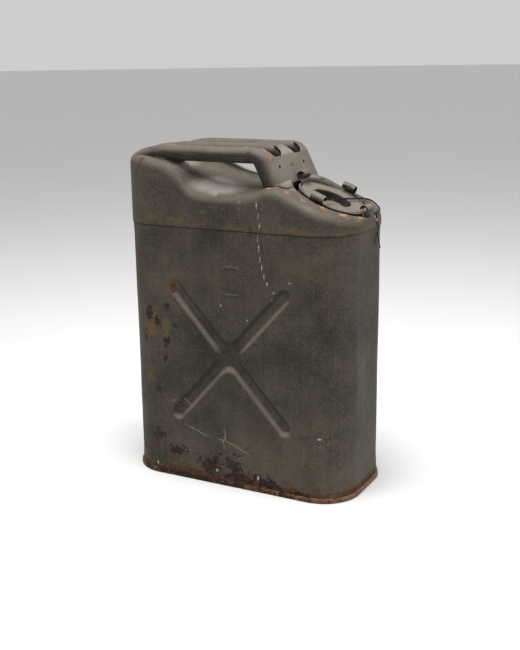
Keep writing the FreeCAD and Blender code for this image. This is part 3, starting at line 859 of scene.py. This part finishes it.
LENS = 56.45
CAMERA_PLACE = Vector((0.6660, -1.2395, 0.5935))
CAMERA_TURN = (28.02, 15.01, -0.77)     # azimuth, elevation and roll in degrees
FLOOR_R = 40
SKY_STRENGTH = 0.62


def look(location, azimuth, elevation, roll):
    a, e, r = (math.radians(v) for v in (azimuth, elevation, roll))
    back = Vector((math.sin(a) * math.cos(e), -math.cos(a) * math.cos(e), math.sin(e)))
    right = Vector((math.cos(a), math.sin(a), 0))
    up = back.cross(right)
    right, up = right * math.cos(r) + up * math.sin(r), up * math.cos(r) - right * math.sin(r)
    turn = Matrix((right, up, back)).transposed().to_4x4()
    return Matrix.Translation(location) @ turn


def make_camera():
    data = bpy.data.cameras.new("camera")
    data.sensor_width = 36
    data.lens = LENS
    data.clip_end = 50
    camera = bpy.data.objects.new("camera", data)
    bpy.context.scene.collection.objects.link(camera)
    camera.matrix_world = look(CAMERA_PLACE, *CAMERA_TURN)
    bpy.context.scene.camera = camera


def soft_light(name, place, target, size, power):
    data = bpy.data.lights.new(name, "AREA")
    data.shape = "RECTANGLE"
    data.size, data.size_y = size
    data.energy = power
    light = bpy.data.objects.new(name, data)
    bpy.context.scene.collection.objects.link(light)
    light.location = place
    light.rotation_mode = "QUATERNION"
    light.rotation_quaternion = (Vector(target) - Vector(place)).to_track_quat("-Z", "Y")


def make_studio():
    around = 64
    angles = [2 * math.pi * i / around for i in range(around)]
    rim = [(FLOOR_R * math.cos(a), FLOOR_R * math.sin(a), 0) for a in angles]
    floor = mesh_piece("floor", rim, [tuple(range(around))])
    s = Shader("pale_floor")
    tone = s.noise(3, 2, 0.5)
    floor.data.materials.append(s.surface(s.mix(tone, (0.72, 0.72, 0.715), (0.75, 0.75, 0.745)), 0.9))
    world = bpy.data.worlds.new("studio")
    world.use_nodes = True
    sky = world.node_tree.nodes["Background"]
    sky.inputs["Color"].default_value = (1, 0.99, 0.98, 1)
    sky.inputs["Strength"].default_value = SKY_STRENGTH
    bpy.context.scene.world = world
    soft_light("top", (0.05, -0.30, 2.0), (0.02, 0, 0.3), (1.0, 1.0), 46)
    soft_light("front", (2.1, 0.1, 0.9), (0, 0, 0.25), (0.5, 1.6), 12)
    bpy.context.scene.view_settings.view_transform = "Standard"


# ------------------------------------------------------------------- colours

PAINT_DARK = (0.013, 0.0105, 0.0070)
PAINT_LIGHT = (0.078, 0.064, 0.045)
TOP_DARK = (0.019, 0.0155, 0.0110)
TOP_LIGHT = (0.078, 0.064, 0.047)
HANDLE_LIGHT = (0.094, 0.077, 0.057)
CAP_LIGHT = (0.140, 0.121, 0.101)
BASE_DARK = (0.075, 0.036, 0.020)
BASE_LIGHT = (0.21, 0.105, 0.052)

# Painted shade in the well and in the gaps round the filler's axis, in millimetres: radius, half width,
# share.
WELL_GAP_SHADE = ((27.0, 28.4, 0.93), (57.4, 0.9, 0.85))
CAP_GAP_SHADE = ((25.4, 1.6, 0.85), (44.3, 1.0, 0.85), (48.2, 0.9, 0.7))

# Places are in millimetres in the can's frame: centre, radii, strength.
BODY_RUST = [
    ((-88, -82, 279), (11, 20, 14), 1.0),
    ((34, -82, 22), (56, 30, 16), 0.60),
    ((-84, -82, 262), (8, 20, 10), 0.75),
    ((2, -82, 214), (13, 20, 6), 0.72),
    ((6, -82, 152), (9, 20, 7), 0.6),
    ((-120, -76, 45), (30, 30, 26), 0.70),
    ((-90, -82, 34), (44, 20, 20), 0.66),
    ((-30, -82, 30), (30, 20, 26), 0.66),
    ((8, -82, 22), (30, 20, 16), 0.66),
    ((60, -82, 16), (60, 20, 10), 0.60),
    ((100, 82, 20), (90, 20, 18), 0.62),
    ((-100, 82, 30), (60, 20, 26), 0.62),
    ((60, 82, 286), (12, 20, 12), 0.8),
    ((-171, 0, 30), (20, 60, 22), 0.62),
]
BODY_OCHRE = [
    ((-124, -80, 232), (24, 30, 50), 0.88),
    ((-100, -82, 215), (16, 30, 40), 0.72),
    ((-130, -80, 150), (20, 30, 38), 0.62),
    ((-86, -82, 288), (16, 30, 26), 0.76),
    ((-76, -82, 252), (10, 30, 14), 0.55),
    ((-100, -82, 118), (20, 30, 24), 0.45),
    ((150, -76, 260), (10, 30, 36), 0.42),
    ((155, -76, 200), (10, 30, 20), 0.40),
    ((36, -82, 200), (16, 30, 10), 0.45),
    ((-60, -82, 20), (120, 40, 18), 0.50),
    ((90, 82, 240), (30, 30, 50), 0.5),
    ((-165, 30, 200), (20, 26, 60), 0.5),
]
BODY_FLAKES = [
    ((-128, -80, 238), (11, 30, 22), 0.85),
    ((-113, -82, 228), (9, 30, 18), 0.80),
    ((-100, -82, 200), (9, 30, 20), 0.85),
    ((-84, -82, 226), (8, 30, 9), 0.80),
    ((-104, -82, 176), (8, 30, 10), 0.80),
    ((-96, -82, 252), (7, 30, 9), 0.72),
    ((-136, -78, 206), (7, 30, 16), 0.74),
    ((-118, -80, 128), (10, 30, 10), 0.62),
    ((-80, -82, 108), (7, 30, 5), 0.72),
    ((-118, -80, 60), (22, 30, 22), 0.72),
    ((-84, -82, 40), (30, 30, 14), 0.78),
    ((-32, -82, 26), (34, 30, 20), 0.85),
    ((12, -82, 16), (30, 30, 12), 0.80),
    ((52, -82, 16), (46, 30, 18), 0.74),
    ((0, -82, 34), (54, 30, 26), 0.52),
    ((110, -82, 8), (50, 30, 7), 0.70),
    ((120, 80, 26), (40, 30, 16), 0.66),
    ((-60, 82, 20), (60, 30, 16), 0.72),
    ((-171, -20, 40), (20, 40, 18), 0.66),
]
BODY_PEEL = [
    ((-75, -82, 70), (50, 30, 14), 1.0),
    ((10, -82, 66), (36, 30, 24), 1.0),
    ((-104, -82, 60), (22, 30, 22), 1.0),
    ((-74, -82, 114), (22, 30, 8), 0.7),
    ((70, 82, 80), (50, 30, 22), 0.8),
]
BODY_CHIPS = [((-140, -78, 42), (24, 20, 10), 0.50), ((100, -80, 12), (60, 20, 6), 0.5),
              ((152, -70, 10), (30, 30, 8), 0.56),
              ((-168, 10, 18), (20, 50, 8), 0.5)]
BODY_PALE = [
    ((47.8, -82, 358), (0.9, 9, 10), 1), ((49.2, -82, 345), (1.0, 9, 12), 1),
    ((51.0, -82, 331), (0.9, 9, 9), 1), ((53.2, -82, 320), (1.2, 9, 9), 1),
    ((56.4, -82, 308), (1.0, 9, 8), 1), ((61, -82, 298), (1.6, 9, 5), 1),
    ((70, -82, 287), (2.2, 9, 2.0), 1), ((67, -82, 277), (1.9, 9, 1.8), 1),
    ((62, -82, 262), (1.7, 9, 2.0), 1), ((-61, -82, 262), (1.6, 9, 8), 1),
    ((-122, -82, 14), (2.5, 9, 5), 1), ((-74, -82, 42), (2.0, 9, 2), 1),
    ((-22, -82, 20), (4.5, 9, 3.5), 1), ((44, -82, 20), (3.5, 9, 6), 1),
    ((136, -80, 92), (5, 9, 3), 1), ((164, -72, 64), (3, 9, 5), 1),
    ((-83, -82, 108), (4, 9, 1.6), 1), ((94, -82, 302), (6, 9, 1.6), 0.7),
    ((-10, -82, 262), (3, 9, 3), 0.8), ((30, -82, 246), (2.5, 9, 2.5), 0.8),
    ((-40, 82, 200), (3, 9, 3), 1), ((80, 82, 60), (3, 9, 4), 1),
]

TOP_RUST = [
    ((-131, -74, 452), (10, 16, 12), 0.75),
    ((-150, -60, 440), (14, 20, 14), 0.55),
    ((-96, -74, 440), (7, 16, 7), 0.6),
    ((120, -62, 398), (34, 12, 6), 0.5),
    ((150, -40, 384), (22, 20, 6), 0.5),
    ((-120, 74, 446), (16, 16, 14), 0.6),
]
TOP_CHIPS = [
    ((60, -70, 424), (34, 15, 12), 0.66),
    ((84, -68, 418), (34, 14, 12), 0.68),
    ((106, -66, 409), (32, 14, 12), 0.64),
    ((130, -60, 399), (32, 15, 12), 0.68),
    ((152, -48, 390), (28, 20, 12), 0.72),
    ((166, -24, 385), (18, 32, 12), 0.70),
    ((118, -60, 405), (54, 10, 10), 0.52),
    ((66, -48, 427), (16, 18, 6), 0.52),
    ((-20, -68, 417), (40, 9, 6), 0.44),
    ((150, 52, 391), (24, 14, 9), 0.52),
    ((70, 68, 423), (20, 12, 9), 0.52),
]
TOP_PALE = [
    ((47, -82, 402), (1.2, 9, 9), 1), ((49.5, -82, 388), (1.2, 9, 8), 1),
    ((51, -82, 374), (1.0, 9, 8), 1), ((-62, -70, 431), (2.6, 6, 2.2), 1),
    ((20, -80, 404), (1.4, 9, 5), 0.8), ((20, -80, 396), (1.2, 9, 3), 0.8),
    ((-126, -40, 469), (5, 5, 2), 0.7), ((176, -30, 378), (4, 6, 1.6), 0.8),
    ((142, -66, 385), (4, 6, 1.5), 0.7),
]
TOP_OCHRE = [
    ((-118, -80, 380), (34, 20, 10), 0.62),
    ((-78, -82, 376), (30, 20, 9), 0.60),
    ((-30, -82, 374), (30, 20, 8), 0.52),
    ((90, -82, 371), (60, 20, 8), 0.60),
    ((-150, -66, 430), (16, 30, 26), 0.45),
    ((80, 70, 380), (60, 20, 10), 0.5),
]

# patches of chalky paint and painted light on the top
TOP_CHALK_AND_LIGHT = [
    ((-25, -58, 420), (52, 26, 18), 1.0),
    ((-78, -48, 446), (22, 30, 16), 0.6),
    ((-20, 30, 430), (56, 50, 18), 0.7),
    ((84, -50, 421), (20, 20, 10), 0.2),
]

HANDLE_CHIPS = [
    ((44, -53, 469), (13, 9, 8), 0.78),
    ((53, -53, 461), (9, 9, 10), 0.86),
    ((58, -55, 450), (8, 7, 10), 0.74),
    ((30, -64, 470), (14, 8, 6), 0.60),
    ((12, -66, 469), (12, 7, 6), 0.55),
    ((-100, -52, 473), (14, 7, 5), 0.55),
    ((-84, -60, 474), (8, 7, 3), 0.52),
    ((70, -54, 428), (7, 12, 6), 0.58),
    ((50, 56, 464), (10, 10, 8), 0.52),
]
HANDLE_RUST = [
    ((28, -68, 464), (18, 8, 9), 0.62),
    ((34, -70, 452), (8, 8, 12), 0.55),
    ((-50, -64, 468), (10, 12, 6), 0.40),
    ((-132, -52, 466), (10, 14, 6), 0.45),
    ((64, 40, 440), (12, 14, 12), 0.40),
]
# chalky paint and painted light on the handle's front plate
HANDLE_CHALK_AND_LIGHT = [((60, 0, 446), (40, 95, 40), 0.85)]
HANDLE_PALE = [
    ((22, -60, 473), (2.2, 3, 2), 1), ((-118, -40, 470), (5, 4, 2), 0.8),
    ((-70, 10, 474), (3, 3, 2), 0.8),
]
CAP_RUST = [
    ((118, 0, 400), (20, 20, 12), 0.52),
    ((150, -18, 390), (18, 16, 10), 0.62),
    ((92, -34, 412), (18, 12, 10), 0.54),
    ((100, -44, 408), (18, 10, 10), 0.50),
    ((80, 12, 424), (14, 14, 10), 0.45),
]
CAP_CHIPS = [((148, -12, 394), (20, 22, 8), 0.54), ((100, 30, 414), (14, 12, 6), 0.40)]

BASE_RUST = [((0, 0, 0), (400, 400, 400), 0.80)]
BASE_CHIPS = [((130, -60, 5), (90, 60, 12), 0.56), ((-100, -84, 5), (120, 40, 9), 0.50)]
BASE_FLAKES = [((-70, -84, 5), (240, 200, 14), 0.74), ((90, -84, 3), (120, 60, 10), 0.55)]


def make_all():
    body_paint = painted("body_paint", PAINT_DARK, PAINT_LIGHT, BODY_RUST, BODY_CHIPS, BODY_PALE,
                         BODY_OCHRE, BODY_FLAKES, BODY_PEEL, dust=0.80, worn=0.95,
                         grime=(SEAM - 2.4 * MM, SEAM - 0.6 * MM), low_rust=(6 * MM, 26 * MM))
    finish_piece(make_body(), "can", body_paint)
    top_paint = painted("top_paint", TOP_DARK, TOP_LIGHT, TOP_RUST, TOP_CHIPS, TOP_PALE, TOP_OCHRE,
                        band=(SEAM + 3 * MM, SEAM + 12 * MM), dust=0.24, chalk_and_light=TOP_CHALK_AND_LIGHT,
                        shade_rings=WELL_GAP_SHADE)
    finish_piece(worked_copy("top_shell", 2.6 * MM, top_shape), "can", top_paint)
    # the handle gets painted shade on its upright sides as well as on what faces down
    handle_paint = painted("handle_paint", TOP_DARK, HANDLE_LIGHT, HANDLE_RUST, HANDLE_CHIPS,
                           HANDLE_PALE, dust=0.32, worn=0.9, shade_facing=(0.56, -0.06),
                           chalk_and_light=HANDLE_CHALK_AND_LIGHT)
    handle = worked_copy("handle_stamping", 3.0 * MM, handle_shape)
    finish_piece(handle, "can", handle_paint)
    for node in ("grip_channel_right", "grip_channel_middle", "grip_channel_left"):
        repaint(node, handle_paint)
    # the cap gets painted shade on its steep sides as well as on what faces down
    cap_paint = painted("cap_paint", TOP_DARK, CAP_LIGHT, CAP_RUST, CAP_CHIPS, dust=0.58, worn=0.9,
                        shade_facing=(0.30, -0.40), shade_rings=CAP_GAP_SHADE, shaded_hollows=LUG_HEIGHTS)
    plate = finish_piece(make_plate(), "cap", cap_paint)
    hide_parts("cap_lug_plate")
    for index, height in enumerate(LUG_HEIGHTS):
        finish_piece(make_lug(index, height), "cap", cap_paint)
    cup = finish_piece(make_cap_bead(), "cap", cap_paint)
    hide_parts("cap_shell")
    base = painted("base_rust", BASE_DARK, BASE_LIGHT, BASE_RUST, BASE_CHIPS, flakes=BASE_FLAKES,
                   dust=0.10, worn=0.2)
    finish_piece(worked_copy("bottom_pan", 3.2 * MM, hem_shape), "can", base)
    bare = steel("wire_steel", (0.010, 0.008, 0.007), (0.045, 0.034, 0.026), 0.55, 0.25)
    finish_piece(worked_copy("neck_collar", 4 * MM, np.zeros_like), "can",
                 steel("collar_steel", (0.2, 0.18, 0.16), (0.4, 0.37, 0.33)))
    repaint("cap_gasket", rubber("gasket_rubber"))
    make_seal(bare)


def make_seal(steel_wire):
    link_steel = steel("link_steel", (0.25, 0.22, 0.19), (0.55, 0.50, 0.44), 0.5, 0.1)

    def done(piece, body, node=None):
        finish_piece(piece, body, steel_wire)
        if node:
            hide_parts(node)

    def worn(points):
        return np.array([Vector([0.06 * MM * noise.noise(Vector(p) * 900 + Vector((k, 0, 0)))
                                 for k in (0, 9, 21)]) for p in points])

    over_cap = wire("seal_line_cap", [to_can(*p) for p in CAP_WIRE], WIRE_R, 0.14, 1.0)
    done(over_cap, "cap", "seal_wire_over_cap")
    round_rim = wire("seal_line_rim", [to_can(*p) for p in RIM_WIRE], WIRE_R, 0.14, 5.0)
    done(round_rim, "can", "seal_wire_round_rim")
    done(worked_copy("seal_eye", 0.9 * MM, worn), "can")
    finish_piece(worked_copy("seal_link", 0.6 * MM, worn), "seal_end", link_steel)
    tails = (("seal_tail_long", LONG_TAIL, "seal_tails"), ("seal_tail_short", SHORT_TAIL, None))
    for name, route, node in tails:
        line = [Vector((TAIL_X, y, z)) * MM for y, z in route]
        strands = twisted(name, line, TAIL_R, TAIL_PITCH, len(route))
        done(strands[0], "seal_end", node)
        done(strands[1], "seal_end")


make_camera()
make_studio()
make_all()
